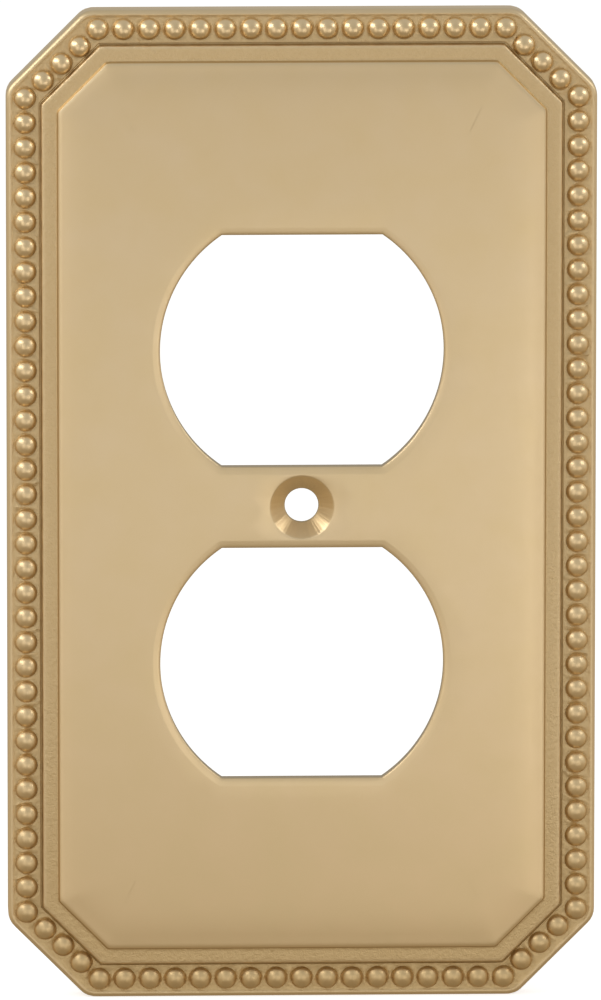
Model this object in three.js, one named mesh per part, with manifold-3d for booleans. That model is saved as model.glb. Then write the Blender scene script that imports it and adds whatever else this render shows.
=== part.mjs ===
// Wall plate cover for a duplex receptacle: one hollow-backed brass casting with cut
// corners, a beaded border, two receptacle openings and one countersunk screw hole.
//
// Millimetres, +Z up. The plate stands upright with its front towards -Y. The origin is on
// the wall plane, on the axis of the screw hole. The plate is drawn lying down, with its
// heights measured from the wall plane along local +Z, and is turned upright at the end.
//
// It runs with the npm packages "three" and "manifold-3d".

import * as THREE from 'three';
import { mergeVertices } from 'three/addons/utils/BufferGeometryUtils.js';
import Module from 'manifold-3d';

// ---- driving dimensions -------------------------------------------------------------

const PLATE_WIDTH = 72.5;
const PLATE_HEIGHT = 123.0;
const CORNER_CUT = 9.7; // length cut from each side at a 45 degree corner
const VERTEX_RADIUS = 2.6; // rounding where a side meets a corner cut

// Heights above the wall plane.
const PANEL_LEVEL = 5.2; // raised centre panel
const BAND_LEVEL = 4.45; // flat band round the panel
const RIDGE_LEVEL = 3.75; // low ridge along the outer edge
const GROUND_LEVEL = 3.6; // floor of the bead channel

// Insets, measured inwards from the outer side wall.
const EDGE_ROUND = 0.55; // rounded outer edge, which ends at the ridge
const CHANNEL_INSET = 0.9; // foot of the ridge
const BEAD_INSET = 2.3; // line of bead centres
const BAND_INSET = 4.15; // foot of the step up to the band
const PANEL_INSET = 6.25; // foot of the step up to the panel
const BAND_EDGE = 0.35; // rounding of the band's outer edge
const PANEL_EDGE = 0.5; // rounding of the panel's outer edge
const BAND_VERTEX_RADIUS = 0.6;
const PANEL_VERTEX_RADIUS = 1.0;

// Beads.
const BEAD_RADIUS = 1.36;
const BEAD_HEIGHT = 1.1; // above the channel floor
const BEAD_ROW_COUNT = 17; // along the top and the bottom, corner beads included
const BEAD_ROW_PITCH = 3.125;
const BEAD_COLUMN_COUNT = 34; // along each side, corner beads included
const BEAD_COLUMN_PITCH = 3.075;
const BEADS_BETWEEN_CORNERS = 3; // on each corner cut
const BEAD_SIDES = 8;
const BEAD_RINGS = 3;

// Receptacle openings: a circle with its top and bottom cut flat.
const OPENING_SPACING = 38.89; // standard duplex spacing, 1.531 in
const OPENING_RADIUS = 17.45;
const OPENING_FLAT = 14.4; // from the opening's centre to each flat
const OPENING_LIP = 0.5; // chamfer round the front of the opening

// Screw hole for a No. 6 oval-head screw.
const SCREW_HOLE_RADIUS = 2.07;
const COUNTERSINK_RADIUS = 4.04;
const COUNTERSINK_DEPTH = 2.0;
const BOSS_RADIUS = 4.7;
const BOSS_LEVEL = 2.7; // underside of the boss round the hole

// Hollow back.
const RIM_WIDTH = 2.5; // bearing rim on the wall plane
const RIM_FLOOR_LEVEL = 1.9; // hollow behind the bead channel
const PANEL_HOLLOW_INSET = 5.9;
const PANEL_FLOOR_LEVEL = 3.25; // hollow behind the panel
const HOLLOW_VERTEX_RADIUS = 1.1;

// Facets of the curved outlines and edges.
const OUTER_EDGE_STEPS = 3;
const STEP_EDGE_STEPS = 2;
const VERTEX_STEPS = 3;
const ARC_STEPS = 26;
const HOLE_SIDES = 24;
const BELOW = 3; // how far cutters and fused bodies reach past the faces they cross

// ---- solids ---------------------------------------------------------------------------

const wasm = await Module();
wasm.setup();

function toSolid(geometry) {
  geometry.deleteAttribute('normal');
  geometry.deleteAttribute('uv');
  const merged = mergeVertices(geometry, 1e-4);
  const mesh = new wasm.Mesh({
    numProp: 3,
    vertProperties: Float32Array.from(merged.attributes.position.array),
    triVerts: Uint32Array.from(merged.index.array),
  });
  return new wasm.Manifold(mesh);
}

function toGeometry(solid) {
  const { vertProperties, triVerts } = solid.getMesh();
  const geometry = new THREE.BufferGeometry();
  geometry.setAttribute('position', new THREE.BufferAttribute(vertProperties, 3));
  geometry.setIndex(new THREE.BufferAttribute(triVerts, 1));
  const faceted = geometry.toNonIndexed();
  faceted.computeVertexNormals();
  return faceted;
}

// ---- outlines -------------------------------------------------------------------------

// Closed outline through the given corner points, each corner rounded.
function roundedOutline(corners, radius) {
  const shape = new THREE.Shape();
  const turn = Math.PI / 4; // the outline turns this much at every corner
  const back = radius * Math.tan(turn / 2);
  corners.forEach((corner, index) => {
    const before = corners.at(index - 1);
    const after = corners[(index + 1) % corners.length];
    const start = corner.clone().add(before.clone().sub(corner).setLength(back));
    const end = corner.clone().add(after.clone().sub(corner).setLength(back));
    if (index === 0) {
      shape.moveTo(start.x, start.y);
    } else {
      shape.lineTo(start.x, start.y);
    }
    shape.quadraticCurveTo(corner.x, corner.y, end.x, end.y);
  });
  shape.closePath();
  return shape;
}

// The plate's outline moved inwards by the inset, keeping every side parallel.
function plateOutline(inset, radius) {
  const halfWidth = PLATE_WIDTH / 2 - inset;
  const halfHeight = PLATE_HEIGHT / 2 - inset;
  const cut = CORNER_CUT - (2 - Math.SQRT2) * inset;
  const corners = [
    [halfWidth, -halfHeight + cut],
    [halfWidth, halfHeight - cut],
    [halfWidth - cut, halfHeight],
    [-halfWidth + cut, halfHeight],
    [-halfWidth, halfHeight - cut],
    [-halfWidth, -halfHeight + cut],
    [-halfWidth + cut, -halfHeight],
    [halfWidth - cut, -halfHeight],
  ].map(([x, y]) => new THREE.Vector2(x, y));
  return roundedOutline(corners, radius);
}

function openingOutline(centreY) {
  const tilt = Math.asin(OPENING_FLAT / OPENING_RADIUS);
  const shape = new THREE.Shape();
  shape.absarc(0, centreY, OPENING_RADIUS, -tilt, tilt, false);
  shape.absarc(0, centreY, OPENING_RADIUS, Math.PI - tilt, Math.PI + tilt, false);
  shape.closePath();
  return shape;
}

// ---- building blocks ------------------------------------------------------------------

// A slab between two heights, its edges straight.
function slab(shape, bottom, top, curveSegments) {
  const geometry = new THREE.ExtrudeGeometry(shape, {
    depth: top - bottom,
    bevelEnabled: false,
    curveSegments,
  });
  geometry.translate(0, 0, bottom);
  return toSolid(geometry);
}

// A slab that widens from the outline at its two faces to the outline plus the edge size.
function edgedSlab(shape, bottom, top, edge, edgeSteps, curveSegments) {
  const geometry = new THREE.ExtrudeGeometry(shape, {
    depth: top - bottom - 2 * edge,
    bevelEnabled: true,
    bevelThickness: edge,
    bevelSize: edge,
    bevelSegments: edgeSteps,
    curveSegments,
  });
  geometry.translate(0, 0, bottom + edge);
  return toSolid(geometry);
}

// A turned solid on the local Z axis, from [radius, height] points.
function turned(profile, sides) {
  const points = profile.map(([radius, height]) => new THREE.Vector2(radius, height));
  const geometry = new THREE.LatheGeometry(points, sides);
  geometry.rotateX(Math.PI / 2);
  return toSolid(geometry);
}

// ---- parts of the casting -------------------------------------------------------------

function raisedLayers() {
  const rim = edgedSlab(
    plateOutline(EDGE_ROUND, VERTEX_RADIUS - EDGE_ROUND),
    -BELOW,
    RIDGE_LEVEL,
    EDGE_ROUND,
    OUTER_EDGE_STEPS,
    VERTEX_STEPS,
  );
  const channel = slab(
    plateOutline(CHANNEL_INSET, VERTEX_RADIUS - CHANNEL_INSET),
    GROUND_LEVEL,
    PANEL_LEVEL + BELOW,
    VERTEX_STEPS,
  );
  const band = edgedSlab(
    plateOutline(BAND_INSET + BAND_EDGE, BAND_VERTEX_RADIUS),
    0,
    BAND_LEVEL,
    BAND_EDGE,
    STEP_EDGE_STEPS,
    VERTEX_STEPS,
  );
  const panel = edgedSlab(
    plateOutline(PANEL_INSET + PANEL_EDGE, PANEL_VERTEX_RADIUS),
    0,
    PANEL_LEVEL,
    PANEL_EDGE,
    STEP_EDGE_STEPS,
    VERTEX_STEPS,
  );
  return rim.subtract(channel).add(band).add(panel);
}

function bead() {
  const foot = GROUND_LEVEL - BEAD_HEIGHT / 2;
  const profile = [[0, foot], [BEAD_RADIUS, foot]];
  for (let ring = 0; ring < BEAD_RINGS; ring += 1) {
    const angle = (ring / BEAD_RINGS) * (Math.PI / 2);
    profile.push([BEAD_RADIUS * Math.cos(angle), GROUND_LEVEL + BEAD_HEIGHT * Math.sin(angle)]);
  }
  profile.push([0, GROUND_LEVEL + BEAD_HEIGHT]);
  return turned(profile, BEAD_SIDES);
}

// Bead centres in one quarter of the border: half a row, one corner cut and half a column.
function quarterBeadCentres() {
  const rowY = PLATE_HEIGHT / 2 - BEAD_INSET;
  const columnX = PLATE_WIDTH / 2 - BEAD_INSET;
  const rowEnd = new THREE.Vector2(((BEAD_ROW_COUNT - 1) / 2) * BEAD_ROW_PITCH, rowY);
  const columnEnd = new THREE.Vector2(columnX, ((BEAD_COLUMN_COUNT - 1) / 2) * BEAD_COLUMN_PITCH);
  const centres = [];
  for (let x = rowEnd.x; x > -BEAD_ROW_PITCH / 4; x -= BEAD_ROW_PITCH) {
    centres.push(new THREE.Vector2(x, rowY));
  }
  for (let step = 1; step <= BEADS_BETWEEN_CORNERS; step += 1) {
    centres.push(rowEnd.clone().lerp(columnEnd, step / (BEADS_BETWEEN_CORNERS + 1)));
  }
  for (let y = columnEnd.y; y > 0; y -= BEAD_COLUMN_PITCH) {
    centres.push(new THREE.Vector2(columnX, y));
  }
  return centres;
}

function beadedBorder() {
  const single = bead();
  const beads = [];
  for (const centre of quarterBeadCentres()) {
    const onMiddleLine = Math.abs(centre.x) < BEAD_ROW_PITCH / 4;
    for (const sideX of onMiddleLine ? [1] : [1, -1]) {
      for (const sideY of [1, -1]) {
        beads.push(single.translate([sideX * centre.x, sideY * centre.y, 0]));
      }
    }
  }
  return beads.reduce((border, next) => border.add(next));
}

function hollowBack() {
  const behindBorder = slab(
    plateOutline(RIM_WIDTH, HOLLOW_VERTEX_RADIUS),
    -2 * BELOW,
    RIM_FLOOR_LEVEL,
    VERTEX_STEPS,
  );
  const behindPanel = slab(
    plateOutline(PANEL_HOLLOW_INSET, HOLLOW_VERTEX_RADIUS),
    -2 * BELOW,
    PANEL_FLOOR_LEVEL,
    VERTEX_STEPS,
  );
  const boss = turned(
    [
      [0, BOSS_LEVEL],
      [BOSS_RADIUS, BOSS_LEVEL],
      [BOSS_RADIUS, PANEL_FLOOR_LEVEL + BELOW],
      [0, PANEL_FLOOR_LEVEL + BELOW],
    ],
    HOLE_SIDES,
  );
  return behindBorder.add(behindPanel).subtract(boss);
}

function receptacleOpening(centreY) {
  const outline = openingOutline(centreY);
  const through = slab(outline, -BELOW, PANEL_LEVEL + BELOW, ARC_STEPS);
  const lip = edgedSlab(
    outline,
    PANEL_LEVEL - OPENING_LIP,
    PANEL_LEVEL + BELOW,
    OPENING_LIP,
    1,
    ARC_STEPS,
  );
  return through.add(lip);
}

function screwHole() {
  const coneStart = PANEL_LEVEL - COUNTERSINK_DEPTH;
  return turned(
    [
      [0, -BELOW],
      [SCREW_HOLE_RADIUS, -BELOW],
      [SCREW_HOLE_RADIUS, coneStart],
      [COUNTERSINK_RADIUS, PANEL_LEVEL],
      [COUNTERSINK_RADIUS, PANEL_LEVEL + BELOW],
      [0, PANEL_LEVEL + BELOW],
    ],
    HOLE_SIDES,
  );
}

// Everything behind the wall plane, which the rear rim is ground flat to.
function wallPlaneCut() {
  const geometry = new THREE.BoxGeometry(2 * PLATE_WIDTH, 2 * PLATE_HEIGHT, 2 * BELOW);
  geometry.translate(0, 0, -BELOW);
  return toSolid(geometry);
}

function wallPlate() {
  const casting = raisedLayers()
    .add(beadedBorder())
    .subtract(wallPlaneCut())
    .subtract(hollowBack())
    .subtract(receptacleOpening(OPENING_SPACING / 2))
    .subtract(receptacleOpening(-OPENING_SPACING / 2))
    .subtract(screwHole());
  const material = new THREE.MeshStandardMaterial({
    color: 0xc9ab80,
    roughness: 0.36,
    metalness: 1.0,
  });
  const mesh = new THREE.Mesh(toGeometry(casting), material);
  mesh.name = 'wall_plate';
  mesh.rotation.x = Math.PI / 2; // local +Z, the front, turns to -Y
  return mesh;
}

const wallPlateCover = new THREE.Group();
wallPlateCover.add(wallPlate());

export default wallPlateCover;
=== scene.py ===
"""The looks of the beaded brass wall plate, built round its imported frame.

The plate is one casting, so it is one mesh. It is drawn in millimetres on its plan: across
(the frame's X), up (the frame's Z) and rise, the height in front of the wall plane. Rings
that follow the plate's outline make the relief, a ring of cells makes the beads, and the
flat areas between them are triangulated. At the end the plan is turned into the row frame,
in metres.
"""

import math
import random

import bmesh
import bpy
import numpy as np
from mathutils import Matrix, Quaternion, Vector, noise
from mathutils.geometry import delaunay_2d_cdt


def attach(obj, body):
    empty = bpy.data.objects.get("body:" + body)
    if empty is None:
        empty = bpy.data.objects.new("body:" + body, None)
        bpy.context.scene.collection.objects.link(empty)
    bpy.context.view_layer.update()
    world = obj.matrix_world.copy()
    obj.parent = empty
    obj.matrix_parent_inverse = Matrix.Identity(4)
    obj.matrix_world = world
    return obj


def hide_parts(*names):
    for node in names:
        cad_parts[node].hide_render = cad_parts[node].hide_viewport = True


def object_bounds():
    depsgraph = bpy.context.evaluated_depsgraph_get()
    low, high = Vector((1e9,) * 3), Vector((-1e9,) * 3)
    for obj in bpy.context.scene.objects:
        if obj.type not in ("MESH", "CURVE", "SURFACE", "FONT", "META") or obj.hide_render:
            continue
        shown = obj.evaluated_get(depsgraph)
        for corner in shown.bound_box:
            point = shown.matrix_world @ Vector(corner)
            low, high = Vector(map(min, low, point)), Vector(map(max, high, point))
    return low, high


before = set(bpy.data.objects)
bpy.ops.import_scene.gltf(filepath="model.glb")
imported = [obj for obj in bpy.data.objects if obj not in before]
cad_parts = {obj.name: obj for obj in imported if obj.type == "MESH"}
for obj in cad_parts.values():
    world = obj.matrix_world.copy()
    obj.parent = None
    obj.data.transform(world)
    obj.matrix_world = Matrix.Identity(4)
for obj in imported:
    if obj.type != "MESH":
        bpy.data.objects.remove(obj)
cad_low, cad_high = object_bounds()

MM = 0.001

# ---- driving dimensions, in millimetres ------------------------------------------------

HALF_WIDTH = cad_high.x / MM
HALF_HEIGHT = cad_high.z / MM
CORNER_CUT = 9.7  # length cut from each side at a 45 degree corner

PANEL_LEVEL = -cad_low.y / MM  # levels are heights in front of the wall plane
BAND_LEVEL = 4.45
RIDGE_LEVEL = 3.74
GROUND_LEVEL = 3.58
PANEL_BACK_LEVEL = 3.25  # floor of the hollow behind the panel
BOSS_LEVEL = 2.7  # underside of the boss round the screw hole

CHANNEL_OUTER = 0.82  # the bead channel, as insets from the side wall
CHANNEL_INNER = 4.0
BEAD_INSET = 2.3  # line of bead centres
PANEL_EDGE = 6.75  # where the panel's roll-off ends, above the step
PANEL_ROLL = 8.0  # width over which the panel rolls off towards its edge
PANEL_ROLL_DROP = 0.15
PANEL_WAVE = 0.012  # depth of the cast panel's slow waves
WAVE_LENGTH = 14.0

BEAD_RADIUS = 1.34
BEAD_HEIGHT = 1.08
BEAD_FOOT = 0.06  # width of the groove round each bead's foot
BEAD_FOOT_DEPTH = 0.05
ROW_COUNT, ROW_PITCH = 17, 3.125  # along the top and the bottom, corner beads included
COLUMN_COUNT, COLUMN_PITCH = 34, 3.075  # along each side, corner beads included
BETWEEN_CORNERS = 3  # on each corner cut

OPENING_SPACING = 38.89  # standard duplex spacing, 1.531 in
OPENING_RADIUS = 17.45
OPENING_FLAT = 14.4  # from an opening's centre to each of its flats

# ---- fineness of the mesh --------------------------------------------------------------

CELL_STEPS = 6  # points along the outline for each bead, an even number
BORDER_STEPS = 6  # points between two neighbouring cells
DOME_STEPS = 7
ARC_STEPS = 48
FLAT_STEPS = 28
HOLE_STEPS = 72
FILL_SPACING = 2.2
SHARP_ANGLE = math.radians(33)

SATIN, GROUND, BEAD, MACHINED, CAST, LINISHED = range(6)  # finishes, in slot order

random.seed(1931)

# ---- the casting as a growing mesh -----------------------------------------------------


class Casting:
    """Points (across, up, rise) and faces with a finish. Painted shade, from 0 to 1, darkens
    points sunken in creases and hollows; rub, from 0 to 1, says how much polishing reached them."""

    def __init__(self):
        """Points and faces are numbered in the order in which they are added."""
        self.points, self.recess, self.rub = [], [], []
        self.faces, self.finishes = [], []

    def add(self, points, recess=0.0, rub=0.0):
        """Adds points. Their painted shade and rub are one value for all of them, or one for each.
        """
        first = len(self.points)
        self.points.extend(tuple(map(float, p)) for p in points)
        self.recess.extend(np.broadcast_to(recess, len(points)))
        self.rub.extend(np.broadcast_to(rub, len(points)))
        return list(range(first, len(self.points)))

    def face(self, corners, finish):
        """Adds one face with a finish, through points that are already there."""
        self.faces.append(tuple(corners))
        self.finishes.append(finish)

    def bridge(self, one, other, finish):
        """Quads between two closed loops with the same number of points."""
        for i in range(len(one)):
            j = (i + 1) % len(one)
            self.face((one[i], one[j], other[j], other[i]), finish)

    def plan(self, index):
        """Where a point lies across and up."""
        return Vector(self.points[index][:2])


casting = Casting()


def stack(make_ring, profile, finish, start=None):
    """Bridges one ring after another. A profile row is (ring's place, rise, painted shade, rub).
    """
    last = start
    rings = []
    for place, rise, recess, rub in profile:
        ring = casting.add([(p.x, p.y, rise) for p in make_ring(place)], recess, rub)
        if last is not None:
            casting.bridge(last, ring, finish)
        rings.append(ring)
        last = ring
    return rings


# ---- rings that follow the plate's outline ---------------------------------------------


def outline_corners(inset):
    """The outline's eight sharp corners moved inwards, counterclockwise from below right."""
    w, h = HALF_WIDTH - inset, HALF_HEIGHT - inset
    cut = CORNER_CUT - (2 - math.sqrt(2)) * inset
    top = [(w, h - cut), (w - cut, h), (cut - w, h), (-w, h - cut)]
    bottom = [(-x, -y) for x, y in top]
    around = bottom[-1:] + top + bottom[:-1]
    return [Vector(p) for p in around]


def bead_centres():
    """Bead centres round the plate, and which of them stand at the eight corners."""
    row_up, row_end = HALF_HEIGHT - BEAD_INSET, (ROW_COUNT - 1) / 2 * ROW_PITCH
    column_across, column_end = HALF_WIDTH - BEAD_INSET, (COLUMN_COUNT - 1) / 2 * COLUMN_PITCH
    top = [
        (column_across, column_end),
        (row_end, row_up),
        (-row_end, row_up),
        (-column_across, column_end),
    ]
    bottom = [(-x, -y) for x, y in top]
    ends = [Vector(p) for p in bottom[-1:] + top + bottom[:-1]]
    steps = [COLUMN_COUNT - 1, BETWEEN_CORNERS + 1, ROW_COUNT - 1, BETWEEN_CORNERS + 1] * 2
    centres, at_corners = [], []
    for side, count in enumerate(steps):
        at_corners.append(len(centres))
        start, end = ends[side], ends[(side + 1) % 8]
        centres.extend(start.lerp(end, i / count) for i in range(count))
    return centres, at_corners


BEADS, CORNER_BEADS = bead_centres()


def cell_borders():
    """The border before each bead: its side, and its place along that side from 0 to 1."""
    corners = outline_corners(BEAD_INSET)
    borders = []
    for index in range(len(BEADS)):
        middle = (BEADS[index - 1] + BEADS[index]) / 2
        before = (index - 1) % len(BEADS)
        side = max(s for s in range(8) if CORNER_BEADS[s] <= before)
        run = corners[(side + 1) % 8] - corners[side]
        borders.append((side, (middle - corners[side]).dot(run) / run.length_squared))
    return borders


BORDERS = cell_borders()


HALF_TURN = math.pi / 8  # half of the 45 degrees that the outline turns at each corner


def corner_half(start, corner, onward, radius):
    """Half a corner cell's run: from start towards the middle of the rounded corner."""
    into, out = (corner - start).normalized(), (onward - corner).normalized()
    back = radius * math.tan(HALF_TURN)
    tangent = corner - into * back
    straight = (tangent - start).length
    side = Vector((-into.y, into.x)) * math.copysign(1, into.cross(out))
    centre = tangent + side * radius
    points = []
    for i in range(CELL_STEPS // 2):
        far = (straight + radius * HALF_TURN) * i / (CELL_STEPS // 2)
        angle = max(0.0, far - straight) / radius
        on_arc = centre - side * radius * math.cos(angle) + into * radius * math.sin(angle)
        points.append(on_arc if angle else start + into * far)
    return points


def corner_run(start, corner, end, radius):
    """The rounded run of a corner cell, from one of its borders to the next."""
    inward = ((start - corner).normalized() + (end - corner).normalized()).normalized()
    middle = corner + inward * radius * (1 / math.cos(HALF_TURN) - 1)
    first = corner_half(start, corner, end, radius)
    second = corner_half(end, corner, start, radius)
    return first + [middle] + second[:0:-1]


# Radius of the eight corners at each of these insets.
ROUND_INSETS = (0.0, 0.82, 4.0, 4.6, 6.25, 6.75, 9.5, 11.0, 12.5, 14.75)
ROUND_RADII = (2.6, 1.8, 0.35, 0.35, 0.5, 0.9, 1.6, 1.3, 1.0, 0.5)


def outline_ring(inset):
    """The outline at an inset, with CELL_STEPS points for each bead."""
    corners = outline_corners(inset)
    radius = float(np.interp(inset, ROUND_INSETS, ROUND_RADII))
    ends = [corners[s].lerp(corners[(s + 1) % 8], place) for s, place in BORDERS]
    points = []
    for index, (side, _) in enumerate(BORDERS):
        after = (index + 1) % len(BORDERS)
        start, end = ends[index], ends[after]
        if index in CORNER_BEADS:
            points.extend(corner_run(start, corners[BORDERS[after][0]], end, radius))
        else:
            points.extend(start.lerp(end, i / CELL_STEPS) for i in range(CELL_STEPS))
    return points


# ---- outside of the casting: rear edge, side wall, rounded edge and ridge --------------

EDGE_WIDTH, EDGE_START = 0.5, 3.1  # the rounding's width, and the height where it begins
# light painted shade on the edge's rounding, and how much polishing rubs it
EDGE_PAINTED_SHADE, EDGE_RUB = 0.15, 0.8
EDGE_STEPS = 6


def outer_edge():
    """Profile of the side wall and of the rounding that leads to the ridge."""
    wall = [(0.08, 0.06, 0, 0.3), (0.0, 0.22, 0, 0.2), (0.0, 1.2, 0, 0), (0.0, 2.2, 0, 0)]
    rounding = []
    for i in range(EDGE_STEPS + 1):
        angle = math.pi / 2 * i / EDGE_STEPS
        inset = EDGE_WIDTH * (1 - math.cos(angle))
        rise = EDGE_START + (RIDGE_LEVEL - EDGE_START) * math.sin(angle)
        rounding.append((inset, rise, EDGE_PAINTED_SHADE, EDGE_RUB * math.sin(angle)))
    return wall + rounding


rear_edge = stack(outline_ring, [(0.25, 0.0, 0, 0.5)], SATIN)[0]
ridge = stack(outline_ring, outer_edge(), SATIN, rear_edge)[-1]
INNER_RIDGE = [
    (0.6, RIDGE_LEVEL - 0.02, 0.0, 0.6),
    (0.7, RIDGE_LEVEL - 0.07, 0.0, 0.3),
    (CHANNEL_OUTER, GROUND_LEVEL + 0.03, 0.1, 0.0),
]
channel_outer = stack(outline_ring, INNER_RIDGE, GROUND, ridge)[-1]

# ---- inside of the bead channel: step up to the band, band, step up to the panel -------

channel_inner = stack(outline_ring, [(CHANNEL_INNER, GROUND_LEVEL, 0.4, 0.0)], GROUND)[0]
# The third column paints shade into the crease at the step's foot.
BAND_STEP = [
    (4.1, GROUND_LEVEL - 0.07, 0.9, 0.0),
    (4.18, GROUND_LEVEL - 0.04, 1.0, 0.0),
    (4.24, 3.8, 1.0, 0.0),
    (4.29, 4.14, 0.7, 0.2),
    (4.34, 4.32, 0.1, 0.9),
    (4.41, 4.41, 0.0, 1.0),
    (4.52, BAND_LEVEL, 0.0, 0.6),
    (4.8, BAND_LEVEL + 0.01, 0.0, 0.1),
    (5.3, BAND_LEVEL, 0.0, 0.0),
    (5.8, BAND_LEVEL - 0.01, 0.0, 0.0),
    (6.08, BAND_LEVEL - 0.02, 0.1, 0.0),
    (6.19, BAND_LEVEL + 0.01, 0.3, 0.0),
]
band_inner = stack(outline_ring, BAND_STEP, GROUND, channel_inner)[-1]


def panel_rise(inset):
    """Height of the panel, which rolls off towards its edge."""
    share = max(0.0, 1 - (inset - PANEL_EDGE) / PANEL_ROLL)
    return PANEL_LEVEL - PANEL_WAVE - PANEL_ROLL_DROP * share**4


PANEL_STEP = [
    (6.26, 4.62, 0.2, 0.0),
    (6.37, 4.93, 0.1, 0.0),
    (6.55, panel_rise(PANEL_EDGE) - 0.04, 0.0, 0.2),
]
PANEL_RINGS = (PANEL_EDGE, 7.0, 7.4, 8.0, 8.8, 9.8, 11.0, 12.5, PANEL_EDGE + PANEL_ROLL)
RUB_END, RUB_WIDTH = 8.0, 1.6  # inset where the edge's rubbing ends, and how fast it grows


def panel_rub(inset):
    return max(0.0, RUB_END - inset) / RUB_WIDTH


panel_roll = [(inset, panel_rise(inset), 0, panel_rub(inset)) for inset in PANEL_RINGS]
panel_core = stack(outline_ring, PANEL_STEP + panel_roll, SATIN, band_inner)[-1]

# ---- beads -----------------------------------------------------------------------------

# Grains of the sand-cast texture: how many to a millimetre, their height, and the slice of
# noise that they are taken from.
SAND_GRAINS = ((0.9, 0.045, 3.0), (2.6, 0.05, 7.0))

# On the border between two beads: a nub near one of its ends, and a web at its middle. Places
# and widths are shares of the border's length, from its outer end.
NUB_PLACES = (0.15, 0.2, 0.8, 0.85)
NUB_HEIGHT, NUB_WIDTH = 0.16, 0.09
WEB_HEIGHTS = (0.02, 0.1)
WEB_PLACE, WEB_WIDTH = 0.47, 0.16

BEAD_WANDER = 0.02  # how far a bead may stand from its place, across and up
BEAD_RADII = (0.985, 1.0)  # smallest and largest, as shares of the radius
BEAD_HEIGHTS = (0.97, 1.02)  # lowest and highest, as shares of the height
BEAD_FOOT_SHADE, FOOT_SHADE_POWER = 0.8, 8  # painted shade at the dome's foot, and how fast it fades up the dome
OUTWARD_SHADE = 0.35  # groove depth and painted shade on the outward side, as a share of the inward side
FOOT_GROOVE = ((0.5, 1.0), (1.0, 0.4))  # shares of the groove's width, and of its depth there
AROUND_SAND, AROUND_SHADE = 0.5, 0.3  # texture and painted shade halfway between the groove and the cell


def sand(across, up):
    """Height of the coarse sand-cast texture."""
    return sum(
        height * noise.noise(Vector((across * pitch, up * pitch, cut)))
        for pitch, height, cut in SAND_GRAINS
    )


def border_points(outer, inner):
    """Points between two neighbouring cells, with the nubs that the mould left there."""
    start, end = Vector(casting.points[outer]), Vector(casting.points[inner])
    nub_place, nub_height = random.choice(NUB_PLACES), random.uniform(0, NUB_HEIGHT)
    web_height = random.uniform(*WEB_HEIGHTS)
    points = []
    for i in range(1, BORDER_STEPS + 1):
        place = i / (BORDER_STEPS + 1)
        point = start.lerp(end, place)
        point.z += sand(point.x, point.y)
        point.z += nub_height * math.exp(-(((place - nub_place) / NUB_WIDTH) ** 2))
        point.z += web_height * math.exp(-(((place - WEB_PLACE) / WEB_WIDTH) ** 2))
        points.append(point)
    # a little painted shade along the border
    return casting.add(points, recess=0.1)


def bead(centre, loop, inward):
    """A domed bead, the groove round its foot, and the ground out to the loop of its cell.
    The groove is deeper on the inward side, next to the step up to the band, and its
    painted shade is darker there."""
    wander = [random.uniform(-BEAD_WANDER, BEAD_WANDER) for _ in range(2)]
    centre = centre + Vector(wander)
    radius = BEAD_RADIUS * random.uniform(*BEAD_RADII)
    height = BEAD_HEIGHT * random.uniform(*BEAD_HEIGHTS)
    edge = [casting.plan(i) for i in loop]
    ways = [(p - centre).normalized() for p in edge]
    towards_step = np.array([max(0.0, way.dot(inward)) for way in ways])
    shade = OUTWARD_SHADE + (1 - OUTWARD_SHADE) * towards_step

    def ring_at(reach, rises, recess, rub):
        """A ring round the bead, with one point towards each point of the cell's loop."""
        points = [(centre.x + w.x * reach, centre.y + w.y * reach, z) for w, z in zip(ways, rises)]
        return casting.add(points, recess, rub)

    top = casting.add([(centre.x, centre.y, GROUND_LEVEL + height)], rub=1.0)[0]
    last = None
    for step in range(1, DOME_STEPS + 1):
        angle = math.pi / 2 * step / DOME_STEPS
        rise = GROUND_LEVEL + height * math.cos(angle)
        rises = np.full(len(loop), rise)
        # painted shade that grows towards the dome's foot
        foot_shade = BEAD_FOOT_SHADE * shade * math.sin(angle) ** FOOT_SHADE_POWER
        ring = ring_at(radius * math.sin(angle), rises, foot_shade, math.cos(angle))
        if last is None:
            for i in range(len(ring)):
                casting.face((top, ring[i], ring[(i + 1) % len(ring)]), BEAD)
        else:
            casting.bridge(last, ring, BEAD)
        last = ring
    for width_share, depth_share in FOOT_GROOVE:
        rises = GROUND_LEVEL - BEAD_FOOT_DEPTH * depth_share * shade
        ring = ring_at(radius + BEAD_FOOT * width_share, rises, shade, 0.0)
        casting.bridge(last, ring, GROUND)
        last = ring
    foot = [Vector(casting.points[i]) for i in last]
    middle = [f.lerp(Vector(casting.points[e]), 0.5) for f, e in zip(foot, loop)]
    middle = [(p.x, p.y, p.z + AROUND_SAND * sand(p.x, p.y)) for p in middle]
    ring = casting.add(middle, recess=AROUND_SHADE * shade)
    casting.bridge(last, ring, GROUND)
    casting.bridge(ring, loop, GROUND)


def beaded_channel():
    """One cell of the channel after another, each with its bead."""
    count = len(BEADS) * CELL_STEPS
    corners = range(0, count, CELL_STEPS)
    borders = [border_points(channel_outer[i], channel_inner[i]) for i in corners]
    for index, centre in enumerate(BEADS):
        first = index * CELL_STEPS
        along = [(first + i) % count for i in range(CELL_STEPS + 1)]
        outside = [channel_outer[i] for i in along]
        inside = [channel_inner[i] for i in reversed(along)]
        before, after = borders[index], borders[(index + 1) % len(BEADS)]
        inward = (casting.plan(inside[CELL_STEPS // 2]) - centre).normalized()
        bead(centre, outside + after + inside + before[::-1], inward)


beaded_channel()

# ---- openings and screw hole -----------------------------------------------------------


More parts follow.
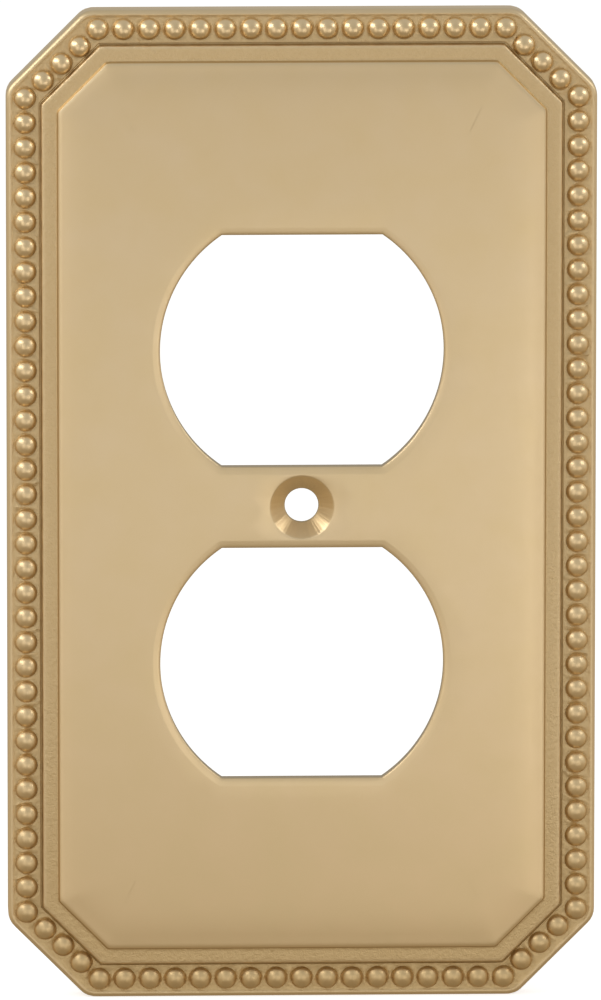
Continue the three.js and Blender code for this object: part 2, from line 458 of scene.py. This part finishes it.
def opening_ring(centre_up):
    """Returns a function that makes the opening's outline grown by an offset."""

    def ring(offset):
        radius, flat = OPENING_RADIUS + offset, OPENING_FLAT + offset
        tilt = math.asin(flat / radius)
        chord = radius * math.cos(tilt)
        half = []
        for i in range(ARC_STEPS):
            angle = tilt * (2 * i / ARC_STEPS - 1)
            half.append((radius * math.cos(angle), radius * math.sin(angle)))
        half += [(chord * (1 - 2 * i / FLAT_STEPS), flat) for i in range(FLAT_STEPS)]
        whole = half + [(-x, -y) for x, y in half]
        return [Vector((x, y + centre_up)) for x, y in whole]

    return ring


LIP = [
    (0.98, PANEL_LEVEL - PANEL_WAVE, 0, 0.0),
    (0.92, PANEL_LEVEL - PANEL_WAVE - 0.004, 0, 0.0),
    (0.8, PANEL_LEVEL - 0.028, 0, 0.1),
    (0.5, PANEL_LEVEL - 0.068, 0, 0.3),
    (0.24, PANEL_LEVEL - 0.102, 0, 0.6),
    (0.12, PANEL_LEVEL - 0.15, 0, 0.9),
    (0.03, PANEL_LEVEL - 0.25, 0.2, 0.4),
    (0.0, PANEL_LEVEL - 0.37, 0.6, 0.0),
    (0.0, PANEL_LEVEL - 0.5, 0.8, 0.0),
    (0.0, PANEL_BACK_LEVEL + 0.6, 1.0, 0.0),
    (0.0, PANEL_BACK_LEVEL + 0.1, 1.0, 0.0),
    (0.04, PANEL_BACK_LEVEL + 0.03, 0.5, 0.3),
    (0.1, PANEL_BACK_LEVEL, 0.2, 0.2),
]
openings = [stack(opening_ring(side * OPENING_SPACING / 2), LIP, SATIN) for side in (1, -1)]


def hole_ring(radius):
    """A circle round the screw hole's axis."""
    turns = [2 * math.pi * i / HOLE_STEPS for i in range(HOLE_STEPS)]
    return [Vector((radius * math.cos(a), radius * math.sin(a))) for a in turns]


SOFT_RIM = [
    (4.03, PANEL_LEVEL - PANEL_WAVE, 0, 0.4),
    (3.99, PANEL_LEVEL - 0.025, 0, 0.7),
    (3.94, PANEL_LEVEL - 0.05, 0, 1.0),
    (3.88, PANEL_LEVEL - 0.09, 0, 0.8),
]
CONE_TOP, CONE_FOOT = (3.81, PANEL_LEVEL - 0.155), (2.24, 3.32)  # radius and rise
# points down the cone, and the painted shade reached at its foot
CONE_STEPS, CONE_FOOT_PAINTED_SHADE = 6, 0.15
HOLE_WALL = [
    (2.13, 3.2, 0.4, 0.4),
    (2.08, 3.08, 0.9, 0.0),
    (2.07, 2.95, 1.0, 0.0),
    (2.07, 2.8, 0.8, 0.0),
    (2.16, 2.71, 0.1, 0.4),
    (2.26, BOSS_LEVEL, 0.0, 0.2),
]
BOSS = [
    (3.3, BOSS_LEVEL, 0, 0),
    (4.3, BOSS_LEVEL, 0, 0.2),
    (4.5, BOSS_LEVEL + 0.06, 0, 0.3),
    (4.58, BOSS_LEVEL + 0.3, 0.3, 0),
    (4.66, PANEL_BACK_LEVEL - 0.06, 0.8, 0),
    (4.78, PANEL_BACK_LEVEL, 0.6, 0),
]


def cone():
    """Profile of the countersink's straight wall."""
    rows = []
    for i in range(CONE_STEPS + 1):
        place = i / CONE_STEPS
        radius = CONE_TOP[0] + (CONE_FOOT[0] - CONE_TOP[0]) * place
        rise = CONE_TOP[1] + (CONE_FOOT[1] - CONE_TOP[1]) * place
        rows.append((radius, rise, CONE_FOOT_PAINTED_SHADE * place, 0.0))
    return rows


soft_rim = stack(hole_ring, SOFT_RIM, SATIN)
cone_foot = stack(hole_ring, cone() + HOLE_WALL, MACHINED, soft_rim[-1])[-1]
boss_foot = stack(hole_ring, BOSS, CAST, cone_foot)[-1]

# ---- back: ground rim and stepped hollow -----------------------------------------------

RIM = [(1.3, 0.0, 0, 0.3), (2.36, 0.0, 0, 0.3)]
HOLLOW = [
    (2.48, 0.05, 0.0, 0.6),
    (2.56, 0.2, 0.1, 0.1),
    (2.66, 0.9, 0.2, 0.0),
    (2.74, 1.6, 0.6, 0.0),
    (2.86, 1.84, 1.0, 0.0),
    (3.1, 1.9, 0.8, 0.0),
    (4.3, 1.9, 0.2, 0.0),
    (5.5, 1.92, 0.0, 0.1),
    (5.82, 2.02, 0.0, 0.3),
    (5.95, 2.3, 0.1, 0.1),
    (6.02, 2.9, 0.5, 0.0),
    (6.14, 3.16, 1.0, 0.0),
    (6.45, PANEL_BACK_LEVEL, 0.7, 0.0),
]
rim_inner = stack(outline_ring, RIM, LINISHED, rear_edge)[-1]
hollow_inner = stack(outline_ring, HOLLOW, CAST, rim_inner)[-1]

# ---- flat areas ------------------------------------------------------------------------


def inside(loop, points):
    """Which of the points lie inside a closed loop, by counting crossings."""
    x, y = points[:, 0:1], points[:, 1:2]
    a, b = loop, np.roll(loop, -1, axis=0)
    spans = (a[:, 1] > y) != (b[:, 1] > y)
    rise = np.where(b[:, 1] == a[:, 1], 1.0, b[:, 1] - a[:, 1])
    reach = a[:, 0] + (y - a[:, 1]) * (b[:, 0] - a[:, 0]) / rise
    return (spans & (x < reach)).sum(axis=1) % 2 == 1


ENCLOSED = 1  # the triangulation's output: only triangles that the outer loop encloses
SAME_POINT = 1e-6  # points closer together than this are one


def fill(boundary, holes, rise_at, finish):
    """Triangulates the area inside the boundary and outside the holes."""
    loops = [boundary] + holes
    plans = [np.array([casting.plan(i) for i in loop]) for loop in loops]

    def wanted(points):
        return inside(plans[0], points) & ~np.any([inside(p, points) for p in plans[1:]], axis=0)

    rows = np.arange(-HALF_HEIGHT, HALF_HEIGHT, FILL_SPACING * math.sqrt(3) / 2)
    steps = np.arange(-HALF_WIDTH, HALF_WIDTH, FILL_SPACING)
    half_step = FILL_SPACING / 2
    grid = np.array([(x + (r % 2) * half_step, y) for r, y in enumerate(rows) for x in steps])
    everywhere = np.concatenate(plans)
    gap = np.sqrt(((grid[:, None] - everywhere[None]) ** 2).sum(axis=2)).min(axis=1)
    grid = grid[(gap > half_step) & wanted(grid)]
    added = casting.add([(x, y, rise_at(x, y)) for x, y in grid])

    indices = [i for loop in loops for i in loop] + added
    edges, first = [], 0
    for loop in loops:
        edges += [(first + i, first + (i + 1) % len(loop)) for i in range(len(loop))]
        first += len(loop)
    plan = [casting.plan(i) for i in indices]
    result = delaunay_2d_cdt(plan, edges, [], ENCLOSED, SAME_POINT)
    places, _, triangles, sources, _, _ = result
    middles = np.array([sum((places[c] for c in t), Vector((0, 0))) / 3 for t in triangles])
    for triangle, keep in zip(triangles, wanted(middles)):
        if keep:
            casting.face([indices[sources[c][0]] for c in triangle], finish)


WAVE_CUT = 5.0  # the slice of noise that the panel's waves are taken from
HOLLOW_SAND = 0.4  # strength of the sand texture on the hollow's floor


def panel_front(across, up):
    """The panel's middle, flat apart from slow casting waves that fade beside the openings."""
    fade = min(1.0, abs(abs(up) - OPENING_SPACING / 2) / OPENING_RADIUS)
    wave = noise.noise(Vector((across / WAVE_LENGTH, up / WAVE_LENGTH, WAVE_CUT)))
    return PANEL_LEVEL - PANEL_WAVE * (1 - fade * wave)


def hollow_floor(across, up):
    """The hollow behind the panel, with a sand texture that is weaker and twice as coarse."""
    return PANEL_BACK_LEVEL + HOLLOW_SAND * sand(across / 2, up / 2)


fill(panel_core, [ring[0] for ring in openings] + [soft_rim[0]], panel_front, SATIN)
fill(hollow_inner, [ring[-1] for ring in openings] + [boss_foot], hollow_floor, CAST)

# ---- finishes --------------------------------------------------------------------------


class Finish:
    """A brass finish: a principled metal shader and the nodes that vary it."""

    def __init__(self, name, colour, roughness):
        self.material = bpy.data.materials.new(name)
        self.material.use_nodes = True
        self.tree = self.material.node_tree
        self.shader = self.tree.nodes["Principled BSDF"]
        self.shader.inputs["Metallic"].default_value = 1.0
        self.shader.inputs["Base Color"].default_value = (*colour, 1)
        self.shader.inputs["Roughness"].default_value = roughness
        self.colour, self.roughness = colour, roughness
        self.place = self.tree.nodes.new("ShaderNodeTexCoord").outputs["Object"]

    def add(self, kind, inputs=(), **settings):
        """Adds a node. Inputs that are sockets are linked, and all others are set."""
        node = self.tree.nodes.new(kind)
        for name, value in settings.items():
            setattr(node, name, value)
        for name, value in dict(inputs).items():
            if isinstance(value, bpy.types.NodeSocket):
                self.tree.links.new(value, node.inputs[name])
            else:
                node.inputs[name].default_value = value
        return node

    def maths(self, operation, one, other):
        return self.add("ShaderNodeMath", {0: one, 1: other}, operation=operation).outputs[0]

    def vector_maths(self, operation, one, other=(0, 0, 0)):
        return self.add("ShaderNodeVectorMath", {0: one, 1: other}, operation=operation).outputs

    def attribute(self, name):
        """Painted shade or rub, as stored on the mesh."""
        return self.add("ShaderNodeAttribute", attribute_name=name).outputs["Fac"]

    def grain(self, size_mm, detail=2.0, stretch=(1, 1, 1)):
        """Noise from 0 to 1 with grains of about this size."""
        scaled = self.vector_maths("MULTIPLY", self.place, stretch)[0]
        inputs = {"Vector": scaled, "Scale": 1 / (size_mm * MM), "Detail": detail}
        return self.add("ShaderNodeTexNoise", inputs).outputs["Fac"]

    def lowness(self, power=1.0):
        """From 0 at the plate's top to 1 at its foot: rougher there, buffed less, with painted
        shade and a painted warm reflection. The higher the power, the nearer to the foot it
        begins."""
        inputs = {"Value": self.add("ShaderNodeSeparateXYZ", {0: self.place}).outputs["Z"]}
        inputs["From Min"], inputs["From Max"] = HALF_HEIGHT * MM, -HALF_HEIGHT * MM
        even = self.add("ShaderNodeMapRange", inputs).outputs[0]
        return self.maths("POWER", even, power)

    def blend(self, share, one, other):
        """One colour mixed towards another. Inputs 6 and 7 are the mix node's colours."""
        inputs = {"Factor": share, 6: one, 7: other}
        return self.add("ShaderNodeMix", inputs, data_type="RGBA").outputs[2]

    def tint(self, colour, share, strength=1.0):
        """The colour so far, mixed towards another by a share that varies."""
        if strength < 1.0:
            share = self.maths("MULTIPLY", share, strength)
        links = self.shader.inputs["Base Color"].links
        so_far = links[0].from_socket if links else (*self.colour, 1)
        mixed = self.blend(share, so_far, (*colour, 1))
        self.tree.links.new(mixed, self.shader.inputs["Base Color"])

    def vary_roughness(self, amount, share):
        """Adds an amount, scaled by a share that varies, to the roughness so far."""
        links = self.shader.inputs["Roughness"].links
        so_far = links[0].from_socket if links else self.roughness
        varied = self.maths("ADD", so_far, self.maths("MULTIPLY", share, amount))
        self.tree.links.new(varied, self.shader.inputs["Roughness"])

    def bump(self, height, depth_mm):
        """Adds relief of this depth on top of the relief so far."""
        inputs = {"Height": height, "Distance": depth_mm * MM, "Strength": 1.0}
        links = self.shader.inputs["Normal"].links
        if links:
            inputs["Normal"] = links[0].from_socket
        node = self.add("ShaderNodeBump", inputs)
        self.tree.links.new(node.outputs[0], self.shader.inputs["Normal"])


BRASS = (0.80, 0.64, 0.425)
FOOT_REFLECTION_BRASS = (0.83, 0.61, 0.355)  # painted warm reflection towards the panel's foot
PATCH_BRASS = (0.77, 0.60, 0.345)  # broad faint patches on the panel
GROUND_BRASS = (0.73, 0.565, 0.335)
BEAD_BRASS = (0.84, 0.655, 0.40)
CUT_BRASS = (0.81, 0.625, 0.375)
RIM_BRASS = (0.80, 0.61, 0.36)
# darker tone of grain and scratches, also used as painted shade
DEEP_TONE_AND_SHADE_BRASS = (0.64, 0.46, 0.23)
CREASE_SHADE_BRASS = (0.36, 0.27, 0.14)  # painted shade in creases and hollows
PALE_BRASS = (0.88, 0.70, 0.45)  # where buffing rubs
CAST_BRASS = (0.66, 0.48, 0.27)
CAST_BROWN = (0.45, 0.30, 0.15)
# painted shade in the creases of the hollow back
CAST_CREASE_SHADE = (0.38, 0.25, 0.12)


def satin_finish():
    """Fine even satin on the panel, the side wall and the rounded edges."""
    finish = Finish("satin_brass_panel", BRASS, 0.33)
    # painted warm reflection, growing towards the panel's foot
    finish.tint(FOOT_REFLECTION_BRASS, finish.lowness(3.0))
    finish.tint(PATCH_BRASS, finish.grain(6.0, 3))
    # painted shade in creases and hollows
    finish.tint(CREASE_SHADE_BRASS, finish.attribute("recess"), 0.8)
    finish.tint(PALE_BRASS, finish.attribute("rub"), 0.25)
    finish.vary_roughness(0.06, finish.grain(1.1, 4))
    finish.vary_roughness(0.1, finish.attribute("rub"))
    finish.bump(finish.grain(0.16, 2), 0.0022)
    finish.bump(finish.grain(2.4, 2), 0.004)
    return finish.material


def ground_finish():
    """Sand-cast metal between the beads and on the band."""
    finish = Finish("sand_cast_ground", GROUND_BRASS, 0.42)
    finish.tint(DEEP_TONE_AND_SHADE_BRASS, finish.grain(0.35, 3), 0.6)
    # painted shade, darker towards the plate's foot
    finish.tint(DEEP_TONE_AND_SHADE_BRASS, finish.lowness(4.0), 0.8)
    # painted shade in creases and hollows
    finish.tint(CREASE_SHADE_BRASS, finish.attribute("recess"), 0.45)
    finish.tint(PALE_BRASS, finish.attribute("rub"), 0.6)
    finish.vary_roughness(0.08, finish.grain(0.5, 3))
    finish.bump(finish.grain(0.17, 3), 0.04)
    finish.bump(finish.grain(0.5, 2), 0.06)
    return finish.material


def bead_finish():
    """Beads that buffing has brightened, rougher and darkened by painted shade towards the foot.
    """
    finish = Finish("burnished_beads", BEAD_BRASS, 0.27)
    # painted shade at the foot of each dome
    finish.tint(DEEP_TONE_AND_SHADE_BRASS, finish.attribute("recess"), 0.6)
    finish.tint(DEEP_TONE_AND_SHADE_BRASS, finish.grain(0.8, 3), 0.2)
    # painted shade, darker towards the plate's foot
    finish.tint(DEEP_TONE_AND_SHADE_BRASS, finish.lowness(4.0), 0.8)
    finish.vary_roughness(0.1, finish.grain(0.5, 3))
    finish.vary_roughness(0.14, finish.lowness())
    finish.bump(finish.grain(0.6, 2), 0.032)
    finish.bump(finish.grain(0.2, 2), 0.008)
    return finish.material


TOOL_PITCH_MM = 0.11  # between two rings that the countersink tool cut
CHATTER_SCALE = 9.0


def machined_finish():
    """Turned rings round the hole, with a little chatter, which shine across the rings."""
    finish = Finish("machined_countersink", CUT_BRASS, 0.28)
    finish.shader.inputs["Anisotropic"].default_value = 0.8
    finish.shader.inputs["Anisotropic Rotation"].default_value = 0.25
    round_the_hole = finish.add("ShaderNodeTangent", direction_type="RADIAL", axis="Y")
    finish.tree.links.new(round_the_hole.outputs[0], finish.shader.inputs["Tangent"])
    flat = finish.vector_maths("MULTIPLY", finish.place, (1, 0, 1))[0]
    radius = finish.vector_maths("LENGTH", flat)["Value"]
    turns = finish.maths("MULTIPLY", radius, 2 * math.pi / (TOOL_PITCH_MM * MM))
    finish.bump(finish.maths("SINE", turns, 0.0), 0.002)
    ray = finish.vector_maths("NORMALIZE", flat)[0]
    chatter = finish.add("ShaderNodeTexNoise", {"Vector": ray, "Scale": CHATTER_SCALE})
    finish.bump(chatter.outputs["Fac"], 0.04)
    # painted shade at the cone's foot and in the hole
    finish.tint(CREASE_SHADE_BRASS, finish.attribute("recess"), 0.9)
    finish.vary_roughness(0.06, finish.grain(0.4, 3))
    return finish.material


def cast_finish():
    """The hollow back, as it left the mould."""
    finish = Finish("raw_cast_back", CAST_BRASS, 0.56)
    finish.tint(CAST_BROWN, finish.grain(5.0, 4), 0.6)
    # painted shade in the creases of the hollow back
    finish.tint(CAST_CREASE_SHADE, finish.attribute("recess"), 0.7)
    finish.tint(BRASS, finish.attribute("rub"), 0.6)
    finish.vary_roughness(0.14, finish.grain(0.7, 3))
    finish.bump(finish.grain(0.28, 3), 0.04)
    finish.bump(finish.grain(1.6, 3), 0.07)
    return finish.material


def linished_finish():
    """The rear rim, ground flat on a belt that left long scratches across."""
    finish = Finish("linished_rear_rim", RIM_BRASS, 0.3)
    scratches = finish.grain(0.12, 3, stretch=(0.02, 1, 1))
    finish.tint(DEEP_TONE_AND_SHADE_BRASS, scratches, 0.35)
    finish.vary_roughness(0.16, scratches)
    finish.bump(scratches, 0.004)
    return finish.material


# ---- the plate as a piece --------------------------------------------------------------


def build_plate():
    """The casting turned into the row frame, with its finishes in slot order."""
    mesh = bpy.data.meshes.new("plate_casting")
    points = [(across * MM, -rise * MM, up * MM) for across, up, rise in casting.points]
    mesh.from_pydata(points, [], casting.faces)
    # Painted shade, darkening creases and hollows, and rub are stored on the points.
    for name, values in (("recess", casting.recess), ("rub", casting.rub)):
        mesh.attributes.new(name, "FLOAT", "POINT").data.foreach_set("value", values)
    mesh.polygons.foreach_set("material_index", casting.finishes)
    front = [satin_finish, ground_finish, bead_finish, machined_finish]
    for make in front + [cast_finish, linished_finish]:
        mesh.materials.append(make())
    return mesh


def turn_faces_outwards(mesh):
    """Makes all faces look out of the solid."""
    edit = bmesh.new()
    edit.from_mesh(mesh)
    bmesh.ops.recalc_face_normals(edit, faces=edit.faces)
    if edit.calc_volume(signed=True) < 0:
        bmesh.ops.reverse_faces(edit, faces=edit.faces)
    edit.to_mesh(mesh)
    edit.free()


plate_mesh = build_plate()
turn_faces_outwards(plate_mesh)
plate_mesh.shade_smooth()
plate_mesh.set_sharp_from_angle(angle=SHARP_ANGLE)
plate = bpy.data.objects.new("plate_casting", plate_mesh)
bpy.context.scene.collection.objects.link(plate)
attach(plate, "root")
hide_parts("wall_plate")

# ---- stage, camera and light -----------------------------------------------------------


def direction(azimuth, elevation):
    """From the plate outwards. Azimuth 0 is straight in front of it, and 90 to its right."""
    a, e = math.radians(azimuth), math.radians(elevation)
    return Vector((math.sin(a) * math.cos(e), -math.cos(a) * math.cos(e), math.sin(e)))


def aim(item, target):
    """Turns a camera or a light towards a target."""
    item.rotation_mode = "QUATERNION"
    item.rotation_quaternion = (target - item.location).to_track_quat("-Z", "Y")


CAMERA_AZIMUTH, CAMERA_ELEVATION, CAMERA_DISTANCE = -2.0, 9.4, 1.75
CAMERA_ROLL = math.radians(0.03)
CAMERA_TARGET = (-0.2, 0.95)  # millimetres across and up, on the front of the panel
SENSOR_SIZE = 36.0
SHOWN_HEIGHT = 0.12294  # metres from the bottom to the top of the picture, at the target


def make_camera():
    """A long lens from nearly straight in front and a little above."""
    data = bpy.data.cameras.new("camera")
    camera = bpy.data.objects.new("camera", data)
    bpy.context.scene.collection.objects.link(camera)
    data.sensor_width = SENSOR_SIZE
    data.lens = SENSOR_SIZE * CAMERA_DISTANCE / SHOWN_HEIGHT
    data.clip_start, data.clip_end = 0.05, 20.0
    across, up = CAMERA_TARGET
    target = Vector((across * MM, -PANEL_LEVEL * MM, up * MM))
    camera.location = target + direction(CAMERA_AZIMUTH, CAMERA_ELEVATION) * CAMERA_DISTANCE
    aim(camera, target)
    camera.rotation_quaternion @= Quaternion((0, 0, 1), CAMERA_ROLL)
    bpy.context.scene.camera = camera


def softbox(name, azimuth, elevation, distance, size, power, colour):
    """A rectangular light that faces the plate."""
    data = bpy.data.lights.new(name, "AREA")
    data.shape = "RECTANGLE"
    data.size, data.size_y = size
    data.energy = power
    data.color = colour
    light = bpy.data.objects.new(name, data)
    bpy.context.scene.collection.objects.link(light)
    light.location = direction(azimuth, elevation) * distance
    light.visible_camera = False
    aim(light, Vector((0, 0, 0)))


# Colour of the surroundings, from straight below (0) over the horizon (0.5) to above (1).
SURROUNDINGS = [
    (0.0, (0.38, 0.32, 0.23)),
    (0.3, (0.39, 0.33, 0.24)),
    (0.43, (0.44, 0.39, 0.315)),
    (0.54, (0.50, 0.485, 0.45)),
    (0.72, (0.53, 0.53, 0.51)),
    (1.0, (0.58, 0.58, 0.57)),
]
SIDES_BEGIN = 0.5  # how far aside a direction is before the surroundings brighten, 0 to 1
SIDE_STRENGTH = 1.5  # straight to the left and right, so that the side walls are lit
BACKDROP_STRENGTH = 1.02


def make_world():
    """Soft studio surroundings for the metal to reflect, and plain white behind it."""
    world = bpy.data.worlds.new("studio")
    bpy.context.scene.world = world
    world.use_nodes = True
    tree = world.node_tree
    surroundings = tree.nodes["Background"]
    place = tree.nodes.new("ShaderNodeTexCoord")
    split = tree.nodes.new("ShaderNodeSeparateXYZ")
    height = tree.nodes.new("ShaderNodeMapRange")
    height.inputs["From Min"].default_value = -1.0
    ramp = tree.nodes.new("ShaderNodeValToRGB")
    elements = ramp.color_ramp.elements
    while len(elements) < len(SURROUNDINGS):
        elements.new(0.5)
    for element, (position, colour) in zip(elements, SURROUNDINGS):
        element.position = position
        element.color = (*colour, 1)
    aside = tree.nodes.new("ShaderNodeMath")
    aside.operation = "ABSOLUTE"
    brighter = tree.nodes.new("ShaderNodeMapRange")
    brighter.inputs["From Min"].default_value = SIDES_BEGIN
    brighter.inputs["To Min"].default_value = 1.0
    brighter.inputs["To Max"].default_value = SIDE_STRENGTH
    backdrop = tree.nodes.new("ShaderNodeBackground")
    backdrop.inputs["Color"].default_value = (1, 1, 1, 1)
    backdrop.inputs["Strength"].default_value = BACKDROP_STRENGTH
    path = tree.nodes.new("ShaderNodeLightPath")
    choose = tree.nodes.new("ShaderNodeMixShader")
    tree.links.new(place.outputs["Generated"], split.inputs[0])
    tree.links.new(split.outputs["Z"], height.inputs["Value"])
    tree.links.new(height.outputs[0], ramp.inputs[0])
    tree.links.new(ramp.outputs[0], surroundings.inputs["Color"])
    tree.links.new(split.outputs["X"], aside.inputs[0])
    tree.links.new(aside.outputs[0], brighter.inputs["Value"])
    tree.links.new(brighter.outputs[0], surroundings.inputs["Strength"])
    tree.links.new(path.outputs["Is Camera Ray"], choose.inputs[0])
    tree.links.new(surroundings.outputs[0], choose.inputs[1])
    tree.links.new(backdrop.outputs[0], choose.inputs[2])
    tree.links.new(choose.outputs[0], tree.nodes["World Output"].inputs["Surface"])


FLOOR_REACH = 3.0
FLOOR_GREY, FLOOR_GLOW = 0.6, 0.7


def make_floor():
    """A pale floor under the plate. It glows a little, so that shadows on it stay light."""
    mesh = bpy.data.meshes.new("floor")
    reach, level = FLOOR_REACH, cad_low.z
    corners = [(-reach, -reach, level), (reach, -reach, level)]
    corners += [(reach, reach, level), (-reach, reach, level)]
    mesh.from_pydata(corners, [], [(0, 1, 2, 3)])
    floor = bpy.data.objects.new("floor", mesh)
    bpy.context.scene.collection.objects.link(floor)
    material = bpy.data.materials.new("pale_floor")
    material.use_nodes = True
    shader = material.node_tree.nodes["Principled BSDF"]
    shader.inputs["Base Color"].default_value = (FLOOR_GREY, FLOOR_GREY, FLOOR_GREY, 1)
    shader.inputs["Roughness"].default_value = 0.9
    shader.inputs["Emission Color"].default_value = (1, 1, 1, 1)
    shader.inputs["Emission Strength"].default_value = FLOOR_GLOW
    mesh.materials.append(material)
    floor.visible_glossy = False
    floor.visible_diffuse = False


# Two softboxes put the highlights on the beads, and three cards shade the panel. The columns
# are azimuth, elevation, distance, width and height, power and colour.
WHITE, COOL, CREAM = (1.0, 0.99, 0.97), (0.85, 0.92, 1.0), (1.0, 0.98, 0.95)
LIGHTS = {
    "left_softbox": (-62, 36, 0.24, (0.19, 0.07), 0.13, WHITE),
    "right_softbox": (66, 34, 0.28, (0.12, 0.07), 0.075, WHITE),
    "front_card": (2, -9, 0.3, (0.13, 0.1), 0.024, COOL),
    "right_card": (25, -9, 0.35, (0.15, 0.14), 0.078, CREAM),
    "left_card": (-24, -2, 0.35, (0.12, 0.24), 0.085, CREAM),
}

make_camera()
make_world()
make_floor()
for name, row in LIGHTS.items():
    softbox(name, *row)
bpy.context.scene.view_settings.view_transform = "Standard"
